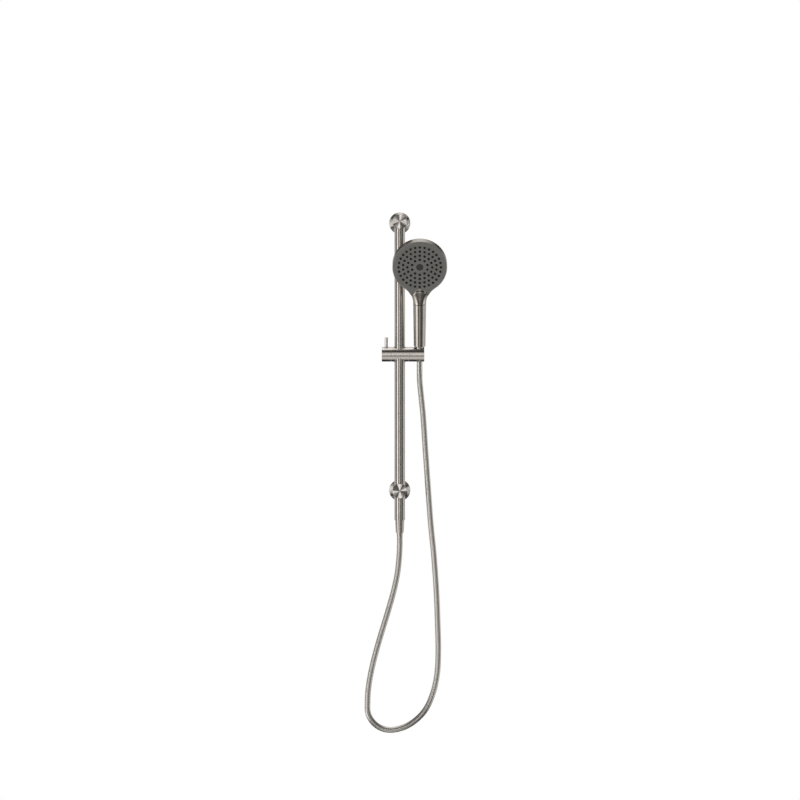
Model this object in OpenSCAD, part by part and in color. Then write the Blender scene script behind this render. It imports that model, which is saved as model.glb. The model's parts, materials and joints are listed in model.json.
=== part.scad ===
// Rail-mounted handheld shower set: two wall brackets, riser rail, clamping slider,
// tilting holder, round handset and hose.
// Frame: +Z up, +X to the right, +Y into the wall. The wall is the plane y = 0, and the
// origin is the centre of the water inlet in the back of the lower bracket.

/* [Rail and brackets] */
// Height between the two brackets' axes
bracket_gap = 630; // [600:5:680]
// Distance from the wall to the rail's axis
rail_y = 50; // [48:0.5:56]
// Outer radius of the rail
rail_r = 12.5; // [12:0.1:12.6]
// Wall of the rail
rail_wall = 1.3; // [1:0.1:2]
// Radius of a bracket's post
post_r = 17; // [16.8:0.1:18]
// Length of a bracket's post, without its end cap
post_len = 70; // [70:0.5:78]
// Thickness of an end cap's visible disc
cap_t = 4; // [3:0.5:6]
// Radius of a wall flange
flange_r = 25; // [24.5:0.5:30]
// Thickness of a wall flange
flange_t = 8; // [8:0.5:12]

/* [Outlet] */
// Length of the outlet sleeve below the lower bracket's axis
sleeve_len = 68.5; // [66:0.5:75]
// Bottom of the lower hose nut, below the lower bracket's axis
nut_end = 98; // [94:0.5:104]
// Length of the crimped collar below the lower nut
collar_len = 9; // [6:0.5:12]

/* [Slider] */
// Height of the slider's axis above the lower bracket's axis
slider_z = 320; // [150:5:450]
// Radius of the slider
slider_r = 17; // [16.8:0.1:18]
// Left end of the clamp knob
knob_x = -42; // [-46:0.5:-41]
// Joint between the clamp knob and the slider body
left_seam_x = -20.2; // [-21:0.1:-19.8]
// Joint between the slider body and the holder
right_seam_x = 21.2; // [20:0.1:22]
// Right end of the holder
holder_x = 57.4; // [57:0.1:60]
// Lever pin's distance from the rail's axis
pin_x = -31.5; // [-32:0.1:-31]
// Lever pin's radius
pin_r = 4; // [3:0.1:4.1]
// Lever pin's height above the slider
pin_h = 22.5; // [15:0.5:30]

/* [Handset] */
// Distance of the holder's socket from the rail's axis
socket_x = 46.5; // [46:0.1:47]
// Forward lean of the handset in its holder
lean = 15; // [12:0.5:18]
// Handle's lower end, above the slider's axis
handle_z = 20; // [19.5:0.5:24]
// Handle's radius at its lower end
handle_low_r = 13.8; // [13.3:0.1:14]
// Handle's radius where it meets the head
neck_r = 15.3; // [15:0.1:16]
// Height of the seam between handle and head
seam_z = 127; // [120:0.5:132]
// Slope of that seam, rising to the back
seam_tilt = 23; // [10:1:30]
// Radius of the head
head_r = 63.6; // [62.5:0.1:64]
// Height of the face's centre along the handle
face_z = 213.3; // [211:0.1:216]
// Distance of the face's centre in front of the handle's axis
face_y = 20; // [19:0.1:21]
// Extra tilt of the face, downwards
face_tilt = 8.5; // [7:0.1:10]
// Radius of the hollow curves from the head to the neck
fillet_r = 50; // [48:1:54]
// Radius of a nozzle at its root
nozzle_r = 2.9; // [1.5:0.1:3.2]

/* [Hose] */
// Outer radius of the hose
hose_r = 6.75; // [6:0.05:7]
// Sides of the hose's tube
hose_sides = 12; // [8:1:12]

/* [Hidden] */
$fn = 64;
fit = 0.05;
gap = 0.3;
oring_cord_r = 0.88;

// Rail fixing
rail_end = 9.4;
rail_screw_z = 13;
rail_screw_r = 2.45;
rail_screw_tip = 47;
plug_deep = 18;
rail_top_z = bracket_gap - rail_end;
steel = [0.70, 0.68, 0.65];
dark_grey = [0.38, 0.38, 0.37];
near_black = [0.13, 0.13, 0.13];
brass = [0.78, 0.66, 0.40];
nylon = [0.88, 0.88, 0.86];
rubber = [0.10, 0.10, 0.11];

// Brackets
post_back_gap = 4.1;
flange_wall = 3.2;
flange_rim = 2.5;
flange_edge = 1.2;
flange_ring_r = 18.1;
cap_spigot_r = 14.9;
cap_spigot_len = 3.4;
stud_r = 9;
stud_len = 21.5;
grub_r = 1.95;
inlet_r = 9.3;
inlet_len = 13;
channel_r = 5;
washer_seat_r = 7.5;

// Outlet and hose ends
sleeve_r = 12.5;
sleeve_in_r = 11.9;
nipple_r = 6.9;
nipple_top = 2.5;
nipple_ring_z = 6;
valve_r = 7.4;
valve_top = 41;
thread_r = 10.35;
thread_end = 62;
nut_top = 50;
nut_seat = 66;
nut_hole_r = 5.8;
tail_r = 5.7;
tail_bore_r = 4;
tail_flange_r = 10.2;
washer_in_r = 6;
washer_t = 1.8;

// Slider, clamp and holder
bush_r = 13.65;
bore_r = 13.25;
sleeve_half = 9.6;
boss_end_x = -25.5;
spigot_end_x = 31;
pivot_r = 8;
pivot_screw_r = 2.4;
screw_r = 4;
hex_r = 7.5;
shoe_r = 7.3;
shoe_front_x = -8;
shoe_seat_x = -16.7;
shoe_travel = 0.5;
web_x = 33.3;
knob_cap_t = 2.75;
cap_ring_r = 15.3;
cap_ring_in_r = 14.2;
pin_foot = 7.1;

nut_low = -17;
cone_low_r = 7.6;
cone_top_r = 9.75;
upper_nut_r = 11.6;
upper_nut_top = 33;
slot_w = 14.6;

// Handle
handle_bore_r = 12;
connector_r = 11.8;
connector_low = 34.5;
connector_top = 50;
restrictor_r = 7.3;
tube_r = 6;
tube_ring_z = 43;

// Head: each ring of nozzles is [count, radius]
nozzle_rings = [[10, 18.7], [16, 28.9], [22, 39.0], [28, 49.2]];
nozzle_hole_r = 0.6;
nozzle_stand = 0.9;
face_step = 0.3;
plate_t = 3.0;
rim_w = 1.3;
arch_r = 20;
arch_v = -75.5;
cap_r = 8.3;
chamber_r = 56.5;
chamber_in_r = 52.9;
chamber_floor = 15.7;
chamber_seal_r = 54.7;
neck_bore_r = 8.9;
shell_hollow = [[57, -22], [50, -23.5], [30, -25]];
rim_depth = 19.5;
dome_h = 3.5;
mat_t = 1.6;

// The head's outline, in the plane of its face: a circle, two hollow curves and the neck
fillet_u = neck_r + fillet_r;
fillet_v = -sqrt(pow(head_r + fillet_r, 2) - fillet_u * fillet_u);
join_v = fillet_v * head_r / (head_r + fillet_r);
join_angle = asin(join_v / head_r);
fillet_join = atan2(join_v - fillet_v, fillet_u - sqrt(head_r * head_r - join_v * join_v));

// The handle's axis in the head's own frame: v runs up the face, w out of it
axis_v0 = -face_y * sin(face_tilt) - face_z * cos(face_tilt);
axis_w0 = -face_y * cos(face_tilt) + face_z * sin(face_tilt);
function axis_w(v) = axis_w0 - (v - axis_v0) * tan(face_tilt);

// Half the width of the outline at the height v
function half_width(v) =
    v > join_v ? sqrt(max(head_r * head_r - v * v, 0)) :
    v > fillet_v ? fillet_u - sqrt(fillet_r * fillet_r - pow(v - fillet_v, 2)) :
    neck_r;

// Distance from a point of the face to the outline
function edge_distance(u, v) =
    v > join_v || norm([u, v]) < head_r * 0.7 ? head_r - norm([u, v]) :
    v > fillet_v ? norm([fillet_u - abs(u), v - fillet_v]) - fillet_r :
    neck_r - abs(u);

function clamp01(x) = min(max(x, 0), 1);
function ease(a, b, x) = let (t = clamp01((x - a) / (b - a))) t * t * (3 - 2 * t);
function mix(a, b, t) = a + (b - a) * t;

// Front of the shell: the round neck, which dives under the flat face
neck_v = -94;
nail_drop = 0.0025;
function bulge(u, v) =
    let (s = max(v - neck_v, 0), e = 2 + 0.012 * s, c = axis_w(v),
         top = c + neck_r / cos(face_tilt) - nail_drop * s * s,
         q = clamp01(abs(u) / max(half_width(v), 0.01)))
    c + (top - c) * pow(max(1 - pow(q, e), 0), 1 / e);
function front_edge(v) = mix(axis_w(v), 0, ease(-82, -64, v));
function front_w(u, v) = max(v < -45 ? bulge(u, v) : -99, front_edge(v));

// Back of the shell: a shallow dome with a rounded rim, running down into the round neck
function back_w(u, v) =
    let (k = ease(-92, -42, v), rho = min(norm([u, v]), head_r),
         deep = mix(neck_r / cos(face_tilt), 5 + dome_h * (1 - pow(rho / head_r, 2)), k),
         round_r = mix(neck_r, 6, k),
         d = clamp01(edge_distance(u, v) / round_r))
    max(axis_w(v), -rim_depth) - deep * sqrt(1 - pow(1 - d, 2));

columns = 22;
function column_u(i, v) = half_width(v) * sin(90 - 180 * i / columns);
function shell_row(v) = concat(
    [for (i = [0:columns]) let (u = column_u(i, v)) [u, v, front_w(u, v)]],
    [for (i = [columns:-1:0]) let (u = column_u(i, v)) [u, v, back_w(u, v)]]);
neck_rows = 14;
head_rows = 22;
low_v = -112;
tip_angle = 88;
function shell_heights() = concat(
    [for (i = [0:neck_rows - 1]) mix(low_v, join_v, i / neck_rows)],
    [for (i = [0:head_rows]) head_r * sin(mix(join_angle, tip_angle, i / head_rows))]);

// A closed skin over rows of points that all have the same count
function skin_faces(rows, count) = concat(
    [[for (i = [0:count - 1]) i]],
    [for (r = [0:rows - 2], i = [0:count - 1]) let (a = r * count, j = (i + 1) % count)
        each [[a + i, a + count + i, a + j], [a + j, a + count + i, a + count + j]]],
    [[for (i = [count - 1:-1:0]) (rows - 1) * count + i]]);

// The hose's route, from the lower collar round the loop and up to the handset's nut
route_low = [0, -rail_y, -(nut_end + collar_len + fit)];
route_top = [socket_x, -rail_y - (nut_low - fit) * sin(lean), slider_z + (nut_low - fit) * cos(lean)];
route = concat([route_low], [
    [0, -50, -125], [-1, -50, -150], [-5, -50, -190], [-13, -49, -230], [-24.5, -48, -272],
    [-37.5, -47, -315], [-51.5, -46, -362], [-64, -45, -410], [-72.5, -44, -455], [-75.5, -43, -492],
    [-73.5, -42, -524.5], [-57, -41, -549], [-30.5, -40, -561], [1.5, -39, -558], [32, -38, -543],
    [60, -38, -514.5], [78.5, -37, -473.5], [88, -37, -428], [90.5, -37, -375], [89, -37, -310],
    [86, -37, -235], [80, -37, -150], [73, -37, -80], [67, -37, 0], [60, -37, 100],
    [55, -37, 175], [50, -37, 225], [47, -38, 257], [46.5, -40, 280]], [route_top]);
route_start = [0, 0, -1];
route_stop = [0, -sin(lean), cos(lean)];

function unit(a) = a / norm(a);
function route_slope(i) =
    i == 0 ? route_start : i == len(route) - 1 ? route_stop : unit(route[i + 1] - route[i - 1]);
function route_middle(i) =
    let (span = norm(route[i + 1] - route[i]))
    (route[i] + route[i + 1]) / 2 + (route_slope(i) - route_slope(i + 1)) * span / 8;
ring_points = [for (i = [0:len(route) - 1]) each
    i < len(route) - 1 ? [route[i], route_middle(i)] : [route[i]]];
function ring_slope(k) =
    k == 0 ? route_start : k == len(ring_points) - 1 ? route_stop :
    unit(ring_points[k + 1] - ring_points[k - 1]);
function hose_ring(k) =
    let (t = ring_slope(k), a = unit(cross(t, [0, 1, 0])), b = cross(t, a))
    [for (i = [0:hose_sides - 1]) ring_points[k]
        + hose_r * (a * cos(360 * i / hose_sides) + b * sin(360 * i / hose_sides))];

// Frames of reference
module along_y(z = 0) { translate([0, 0, z]) rotate([90, 0, 0]) children(); }
module along_x() { translate([0, -rail_y, slider_z]) rotate([0, 90, 0]) children(); }
module in_handle() { translate([socket_x, -rail_y, slider_z]) rotate([lean, 0, 0]) children(); }
module in_head() { in_handle() translate([0, -face_y, face_z]) rotate([90 + face_tilt, 0, 0]) children(); }

// Basic turned shapes
module tube(outer, inner, low, high) {
    translate([0, 0, low]) difference() {
        cylinder(r = outer, h = high - low);
        translate([0, 0, -1]) cylinder(r = inner, h = high - low + 2);
    }
}
module rod(r, low, high, r2 = -1) {
    translate([0, 0, low]) cylinder(r1 = r, r2 = r2 < 0 ? r : r2, h = high - low);
}
module oring(ring_r, cord_r, at) {
    translate([0, 0, at]) rotate_extrude() translate([ring_r, 0]) circle(r = cord_r, $fn = 24);
}
// A turned disc whose front rim is rounded
module round_disc(r, low, high, edge) {
    rotate_extrude() polygon(concat([[0, low], [r, low]],
        [for (a = [0:15:90]) [r - edge + edge * cos(a), high - edge + edge * sin(a)]], [[0, high]]));
}
module socket_set_screw(r, low, high, key) {
    difference() {
        rod(r, low, high);
        translate([0, 0, low - 1]) cylinder(r = key, h = 3.5, $fn = 6);
    }
}

// Rail
module rail_axis() { translate([0, -rail_y, 0]) children(); }
module rail_screw_hole(r, z, deep) { along_y(z) rod(r, 0, deep); }
module both_ends() {
    children();
    translate([0, 0, bracket_gap]) mirror([0, 0, 1]) children();
}
module rail_tube() {
    color(steel) difference() {
        rail_axis() tube(rail_r, rail_r - rail_wall, rail_end, rail_top_z);
        for (z = [rail_screw_z, bracket_gap - rail_screw_z])
            rail_screw_hole(rail_screw_r + 0.15, z, rail_y);
    }
}
module rail_plugs() {
    color(nylon) both_ends() difference() {
        rail_axis() rod(rail_r - rail_wall - fit, rail_end + 0.2, rail_end + plug_deep);
        rail_screw_hole(rail_screw_r + fit, rail_screw_z, rail_y);
    }
}
module rail_screws() {
    color(steel) both_ends() along_y(rail_screw_z) socket_set_screw(rail_screw_r, 30, rail_screw_tip, 1.5);
}

// Wall flanges
module flange() {
    color(steel) along_y() difference() {
        round_disc(flange_r, 0, flange_t, flange_edge);
        translate([0, 0, -1]) cylinder(r = post_r + 0.15, h = flange_t + 2);
        translate([0, 0, -1]) cylinder(r = flange_r - flange_rim, h = flange_t - flange_wall + 1);
        rod(flange_ring_r + 0.95, flange_t - 2.5, flange_t - 0.7);
    }
}
module lower_flange() { flange(); }
module upper_flange() { translate([0, 0, bracket_gap]) flange(); }
module flange_orings() {
    color(rubber) both_ends() along_y() oring(flange_ring_r, 0.85, flange_t - 1.6);
}

// Posts
module rail_socket(side) {
    rail_axis() if (side > 0) rod(rail_r + fit, rail_end - 0.1, post_r + 1);
    else rod(rail_r + fit, -post_r - 1, -rail_end + 0.1);
}
module post_blank(back) {
    difference() {
        along_y() rod(post_r, back, post_len);
        along_y() rod(cap_spigot_r + 0.1, post_len - cap_spigot_len - 0.1, post_len + 1);
    }
}
module lower_post() {
    color(steel) difference() {
        post_blank(0);
        along_y() rod(inlet_r, -1, inlet_len);
        along_y() rod(washer_seat_r, inlet_len - 1, inlet_len + 2);
        along_y() rod(channel_r, inlet_len, rail_y + 2);
        rail_axis() rod(nipple_r + 0.1, -post_r, 0);
        rail_socket(1);
        rail_socket(-1);
        rail_screw_hole(rail_screw_r + fit, rail_screw_z, rail_y - 5);
    }
}
module upper_post() {
    color(steel) translate([0, 0, bracket_gap]) difference() {
        post_blank(post_back_gap);
        along_y() rod(stud_r + 0.1, 0, stud_len + 0.5);
        rail_socket(-1);
        rail_screw_hole(rail_screw_r + fit, -rail_screw_z, rail_y - 5);
        grub_axis() rod(grub_r + fit, 8, post_r + 1);
    }
}
module end_cap() {
    color(steel) along_y() union() {
        round_disc(post_r, post_len + fit, post_len + cap_t, 0.8);
        rod(cap_spigot_r, post_len - cap_spigot_len, post_len + 1);
    }
}
module lower_end_cap() { end_cap(); }
module upper_end_cap() { translate([0, 0, bracket_gap]) end_cap(); }

// Upper wall fixing
module grub_axis() { translate([0, -13, 0]) rotate([0, 140, 0]) children(); }
module upper_wall_plate() {
    color(steel) translate([0, 0, bracket_gap]) along_y() difference() {
        union() {
            rod(19, 0, 4);
            rod(stud_r, 3, stud_len);
        }
        for (x = [-14, 14]) translate([x, 0, 0]) {
            rod(2.25, -1, 5);
            rod(2.25, 2, 4.2, 4.45);
        }
    }
}
module upper_grub_screw() {
    color(steel) translate([0, 0, bracket_gap]) grub_axis()
        translate([0, 0, 25.2]) mirror([0, 0, 1]) socket_set_screw(grub_r, 9.2, 16, 1.1);
}

// Water path through the lower bracket
module inlet_washer() { color(rubber) along_y()
    tube(washer_seat_r - 0.1, channel_r, inlet_len + 0.1, inlet_len + 1.9); }
module outlet_nipple() {
    color(brass) rail_axis() difference() {
        union() {
            rod(nipple_r, -12, -nipple_top);
            rod(sleeve_in_r - fit, -14, -rail_end);
            rod(8.8, -48, -13);
            rod(thread_r, -thread_end, -46);
        }
        rod(tail_bore_r, -valve_top, -2);
        rod(valve_r + 0.1, -thread_end - 1, 1 - valve_top);
        translate([0, 0, -nipple_ring_z]) tube(8, 5.1, -0.95, 0.95);
    }
}
module outlet_oring() { color(rubber) rail_axis() oring(6.02, oring_cord_r, -nipple_ring_z); }
module outlet_sleeve() { color(steel) rail_axis() tube(sleeve_r, sleeve_in_r, -sleeve_len, -rail_end); }
module check_valve() {
    color(nylon) rail_axis() difference() {
        rod(valve_r, 0.5 - thread_end, -valve_top);
        rod(5.5, -thread_end, -56);
        rod(3, -57, 1 - valve_top);
    }
}

// Hose ends
module lower_washer() { color(rubber) rail_axis()
    tube(tail_flange_r, washer_in_r, -thread_end - 0.1 - washer_t, -thread_end - 0.1); }
module lower_hose_tail() {
    color(steel) rail_axis() difference() {
        union() {
            rod(tail_flange_r, 0.1 - nut_seat, -thread_end - 2);
            rod(tail_r, -nut_end - 2, 1 - nut_seat);
            rod(hose_r, -nut_end - collar_len, -nut_end - 0.1, hose_r + 0.75);
        }
        rod(tail_bore_r, -nut_end - collar_len - 1, -60);
    }
}
module lower_nut() {
    color(steel) rail_axis() difference() {
        union() {
            rod(sleeve_in_r - gap, -sleeve_len - 0.3, -nut_top);
            rod(9.4, -nut_end, -sleeve_len - 0.2, 10.8);
        }
        rod(thread_r + 0.1, -nut_seat, -nut_top + 1);
        rod(nut_hole_r, -nut_end - 1, -nut_top);
    }
}
module hose() {
    color(steel) polyhedron([for (k = [0:len(ring_points) - 1]) each hose_ring(k)],
        skin_faces(len(ring_points), hose_sides));
}

// Carriage on the rail
module guide_sleeve() {
    color(nylon) translate([0, -rail_y, slider_z]) difference() {
        tube(bore_r - fit, rail_r + fit, -sleeve_half, sleeve_half);
        translate([-1, 0, -20]) cube([2, 20, 40]);
    }
}

// Slider
module slider_body() {
    color(steel) difference() {
        union() {
            along_x() rod(slider_r, left_seam_x, right_seam_x);
            along_x() rod(pivot_r, boss_end_x, left_seam_x + 1);
            along_x() rod(pivot_r, right_seam_x - 1, spigot_end_x);
        }
        translate([0, -rail_y, slider_z]) {
            rod(bore_r, -20, 20);
            for (s = [-1, 1]) scale([1, 1, s]) rod(bush_r + fit, 10, 20);
        }
        along_x() rod(screw_r + fit, boss_end_x - 1, -14);
        along_x() rod(shoe_r + 0.1, shoe_seat_x, -5);
        along_x() rod(pivot_screw_r + 0.1, 17, spigot_end_x + 1);
    }
}
// Two bushes whose outer ends follow the slider's round surface
module slider_bushes() {
    color(steel) for (s = [0, 1]) translate([0, 0, slider_z]) mirror([0, 0, s]) intersection() {
        rail_axis() tube(bush_r, rail_r + gap, 10.1, 19);
        translate([-20, -rail_y, 0]) rotate([0, 90, 0]) cylinder(r = slider_r + 1.3, h = 40);
    }
}
module pivot_screw() {
    color(steel) along_x() difference() {
        union() {
            rod(pivot_screw_r, 18, web_x + 0.2);
            rod(4.2, web_x + 0.1, web_x + 3);
        }
        translate([0, 0, web_x + 1.2]) cylinder(r = 1.7, h = 3, $fn = 6);
    }
}
module wave_washer() { color(steel) along_x() tube(11.7, 8.3, right_seam_x + 0.05, right_seam_x + 1.2); }

// Clamp
module clamp_knob() {
    color(steel) difference() {
        along_x() rod(slider_r, knob_x + knob_cap_t + fit, left_seam_x - gap);
        along_x() rod(pivot_r + 0.08, boss_end_x - gap, left_seam_x);
        along_x() rod(screw_r + fit, knob_x, left_seam_x);
        along_x() rotate([0, 0, 30]) translate([0, 0, knob_x + 2])
            cylinder(r = hex_r + 0.1, h = 4.2, $fn = 6);
        along_x() tube(cap_ring_r + 0.1, cap_ring_in_r - 0.1, knob_x, knob_x + 4.4);
        translate([pin_x, -rail_y, slider_z]) {
            rod(pin_r + 0.03, pin_foot - 0.1, 20);
            rod(pin_r + 1.2, slider_r - 2, 20);
        }
    }
}
module knob_cap() {
    color(steel) along_x() {
        translate([0, 0, knob_x + knob_cap_t]) mirror([0, 0, 1])
            round_disc(slider_r, 0, knob_cap_t, 0.6);
        tube(cap_ring_r, cap_ring_in_r, knob_x + knob_cap_t - fit, knob_x + 4.3);
    }
}
module lever_pin() {
    color(steel) translate([pin_x, -rail_y, slider_z]) round_disc(pin_r, pin_foot, slider_r + pin_h, 0.6);
}
module clamp_screw() {
    color(steel) along_x() {
        rotate([0, 0, 30]) translate([0, 0, knob_x + 2.9]) cylinder(r = hex_r, h = 3.2, $fn = 6);
        rod(screw_r, knob_x + 6, shoe_seat_x - fit);
    }
}
module clamp_shoe() {
    color(nylon) difference() {
        along_x() rod(shoe_r, shoe_seat_x + shoe_travel, shoe_front_x);
        rail_axis() rod(bore_r + fit, slider_z - 20, slider_z + 20);
    }
}

// Holder
module holder_body() {
    color(steel) difference() {
        translate([0, -rail_y, slider_z]) rotate([0, 90, 0])
            round_disc(slider_r, right_seam_x + gap, holder_x, 0.5);
        along_x() rod(pivot_r + 0.06, right_seam_x, spigot_end_x + gap);
        along_x() rod(12, right_seam_x, right_seam_x + 1.5);
        along_x() rod(pivot_screw_r + 0.1, spigot_end_x, web_x + 1);
        along_x() rod(4.4, web_x, socket_x);
        in_handle() {
            rod(cone_low_r + 0.1, -30, nut_low);
            rod(cone_low_r + 0.1, nut_low - 0.01, handle_z, cone_top_r + 0.1);
            rod(cone_top_r + 0.1, handle_z - 0.01, 30);
            translate([-slot_w / 2, 0, -30]) cube([slot_w, 40, 60]);
        }
    }
}

// Upper end of the hose
module upper_nut() {
    color(steel) in_handle() difference() {
        union() {
            rod(cone_low_r, nut_low, handle_z, cone_top_r);
            rod(upper_nut_r, handle_z + 0.8, upper_nut_top);
            rod(cone_top_r, handle_z - 0.5, handle_z + 1);
        }
        rod(tail_flange_r + 0.2, handle_z + 1.8, upper_nut_top + 1);
        rod(nut_hole_r, nut_low - 1, 30);
    }
}
module upper_hose_tail() {
    color(steel) in_handle() difference() {
        union() {
            rod(tail_flange_r, handle_z + 1.9, handle_z + 3.4);
            rod(tail_r, nut_low + fit, handle_z + 2);
        }
        rod(tail_bore_r, nut_low - 1, 30);
    }
}
module upper_washer() { 
    color(rubber) in_handle() tube(tail_flange_r, washer_in_r, handle_z + 3.5, handle_z + 5);
}

// Inside the handle
module handle_connector() {
    color(brass) in_handle() difference() {
        union() {
            rod(tail_flange_r + 0.1, handle_z + 5.1, connector_low + 0.5);
            rod(connector_r, connector_low, connector_top);
        }
        rod(restrictor_r + 0.2, 20, 34);
        rod(4.5, 33, 40);
        rod(tube_r + 0.1, 38, connector_top + 1);
        translate([0, 0, tube_ring_z]) tube(7.9, 5, -1, 1);
    }
}
module filter_screen() { 
    color(steel) in_handle() tube(restrictor_r, 1.5, handle_z + 5.3, handle_z + 6.4);
}
module flow_restrictor() { 
    color("green") in_handle() tube(restrictor_r, 1.2, handle_z + 6.6, handle_z + 12);
}
module tube_oring() { color(rubber) in_handle() oring(6.95, oring_cord_r, tube_ring_z); }
module water_tube() { color(nylon) in_handle() tube(tube_r, 4.6, 38.3, 152); }
// Everything above the sloping seam, or below it
module seam_side(shift, above) {
    translate([0, 0, seam_z + shift]) rotate([seam_tilt, 0, 0])
        translate([-60, -60, above ? 0 : -120]) cube(120);
}
module handle_tube() {
    color(steel) in_handle() difference() {
        rotate_extrude() polygon([[handle_bore_r, handle_z], [handle_low_r - 0.7, handle_z],
            [handle_low_r, handle_z + 0.9], [neck_r, seam_z], [neck_r, seam_z + 12],
            [handle_bore_r, seam_z + 12]]);
        seam_side(-0.35, true);
    }
}
module seam_ring() {
    color(near_black) in_handle() intersection() {
        tube(neck_r - 0.5, handle_bore_r + 0.1, seam_z - 12, seam_z + 12);
        translate([0, 0, seam_z]) rotate([seam_tilt, 0, 0]) translate([-30, -30, -0.3])
            cube([60, 60, 0.6]);
    }
}

// Head
module face_outline(inset) {
    r = head_r - inset;
    f = fillet_r + inset;
    a = join_angle;
    b = 180 - fillet_join;
    right = concat(
        [for (t = [90:-6:a + 1]) r * [cos(t), sin(t)]], [r * [cos(a), sin(a)]],
        [for (i = [1:8]) let (t = mix(b, 180, i / 8)) [fillet_u + f * cos(t), fillet_v + f * sin(t)]]);
    polygon(concat(right, [for (i = [len(right) - 1:-1:1]) [-right[i][0], right[i][1]]]));
}
module plate_area(inset, arch) {
    difference() {
        face_outline(inset);
        translate([0, arch_v]) circle(r = arch);
        translate([-40, -140]) square([80, 140 + arch_v + 4]);
    }
}
module handset_shell() {
    heights = shell_heights();
    count = 2 * columns + 2;
    color(steel) difference() {
        in_head() polyhedron([for (v = heights) each shell_row(v)],
            skin_faces(len(heights), count));
        in_head() translate([0, 0, -plate_t - 0.2]) linear_extrude(30)
            plate_area(rim_w - 0.2, arch_r - 0.15);
        in_head() for (step = shell_hollow) rod(step[0], step[1], 1 - plate_t);
        in_handle() rod(handle_bore_r, 100, 137);
        in_handle() rod(neck_bore_r, 130, 168);
        in_handle() seam_side(0.35, false);
    }
}
module water_chamber() {
    rim_w0 = -plate_t - gap - mat_t - gap;
    color(nylon) difference() {
        union() {
            in_head() rod(chamber_r, -17.2, rim_w0);
            in_handle() rod(neck_bore_r - gap, 140, 160);
        }
        in_head() difference() {
            rod(chamber_in_r, -chamber_floor, 0);
            rod(5, -chamber_floor - 0.3, rim_w0);
        }
        in_head() tube(chamber_seal_r + 1, chamber_seal_r - 1, rim_w0 - 1.8, 0);
        in_head() rod(1.55, -14, 0);
        in_handle() rod(tube_r + 0.1, 139, 153);
        in_handle() rod(4.6, 152, 162);
    }
}
module chamber_seal() {
    color(rubber) in_head() oring(chamber_seal_r, oring_cord_r, -plate_t - mat_t - 1.32);
}

// Nozzles on their rings, the first of each ring at the top
module on_nozzles() {
    for (ring = nozzle_rings, i = [0:ring[0] - 1])
        rotate(90 + 360 * i / ring[0]) translate([ring[1], 0, 0]) children();
}
module nozzle_mat() {
    low = -plate_t - gap - mat_t;
    color(near_black) in_head() difference() {
        union() {
            rod(chamber_r, low, -plate_t - gap);
            on_nozzles() rod(nozzle_r, low + 0.5, face_step + nozzle_stand, nozzle_r - 0.3);
        }
        on_nozzles() rod(nozzle_hole_r, low - 1, 3);
        rod(1.8, low - 1, 3);
    }
}
module face_plate() {
    color(dark_grey) in_head() difference() {
        translate([0, 0, -plate_t]) linear_extrude(plate_t + face_step) plate_area(rim_w, arch_r);
        on_nozzles() rod(nozzle_r + 0.1, -5, 2);
        rod(cap_r + fit, -0.6, 2);
        rod(3.6, -2.1, 2);
        rod(1.7, -5, 2);
    }
}
module face_screw() {
    color(steel) in_head() difference() {
        union() {
            rod(1.5, -13, -2);
            rod(3.4, -2.05, -0.8);
        }
        translate([0, 0, -1.5]) cylinder(r = 1.1, h = 2, $fn = 6);
    }
}
module centre_cap() { color(near_black) in_head() round_disc(cap_r, -0.55, face_step + 0.15, 0.3); }

rail_tube();
rail_plugs();
rail_screws();
flange_orings();
upper_wall_plate();
upper_flange();
upper_post();
upper_end_cap();
upper_grub_screw();
lower_flange();
lower_post();
lower_end_cap();
inlet_washer();
outlet_nipple();
outlet_oring();
outlet_sleeve();
check_valve();
lower_washer();
lower_hose_tail();
lower_nut();
hose();
guide_sleeve();
slider_body();
slider_bushes();
pivot_screw();
wave_washer();
clamp_knob();
knob_cap();
lever_pin();
clamp_screw();
clamp_shoe();
holder_body();
upper_nut();
upper_hose_tail();
upper_washer();
handle_connector();
filter_screen();
flow_restrictor();
tube_oring();
water_tube();
handle_tube();
seam_ring();
handset_shell();
water_chamber();
chamber_seal();
nozzle_mat();
face_plate();
face_screw();
centre_cap();
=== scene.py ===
"""Rail-mounted handheld shower set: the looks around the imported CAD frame."""

import json
import math

import bmesh
import bpy
import numpy as np
from mathutils import Matrix, Vector


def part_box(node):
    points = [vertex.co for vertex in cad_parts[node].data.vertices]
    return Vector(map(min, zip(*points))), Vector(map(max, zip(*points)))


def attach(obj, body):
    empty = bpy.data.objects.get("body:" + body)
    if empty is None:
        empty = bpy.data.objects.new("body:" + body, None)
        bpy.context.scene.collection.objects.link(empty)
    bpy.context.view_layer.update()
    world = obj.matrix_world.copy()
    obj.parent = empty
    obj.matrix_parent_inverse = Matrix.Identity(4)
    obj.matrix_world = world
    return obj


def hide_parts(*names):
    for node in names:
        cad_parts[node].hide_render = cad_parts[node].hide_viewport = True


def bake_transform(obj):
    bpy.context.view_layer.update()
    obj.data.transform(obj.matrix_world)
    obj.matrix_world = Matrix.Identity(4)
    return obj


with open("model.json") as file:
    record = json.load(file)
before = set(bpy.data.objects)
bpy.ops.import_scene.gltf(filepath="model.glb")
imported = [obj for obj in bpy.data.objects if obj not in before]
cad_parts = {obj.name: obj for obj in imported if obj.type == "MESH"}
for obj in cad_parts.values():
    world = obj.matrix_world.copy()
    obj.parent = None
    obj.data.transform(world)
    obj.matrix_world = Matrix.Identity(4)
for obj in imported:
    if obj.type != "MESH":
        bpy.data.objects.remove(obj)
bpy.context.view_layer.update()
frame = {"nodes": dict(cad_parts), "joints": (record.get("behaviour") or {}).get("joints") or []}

MM = 0.001


# ---------------------------------------------------------------- Camera

CAMERA_X = 0.0006
CAMERA_DISTANCE = 7.5
CAMERA_HEIGHT = 0.2129
WALL_WIDTH_SEEN = 1.888
SENSOR = 36.0


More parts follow.
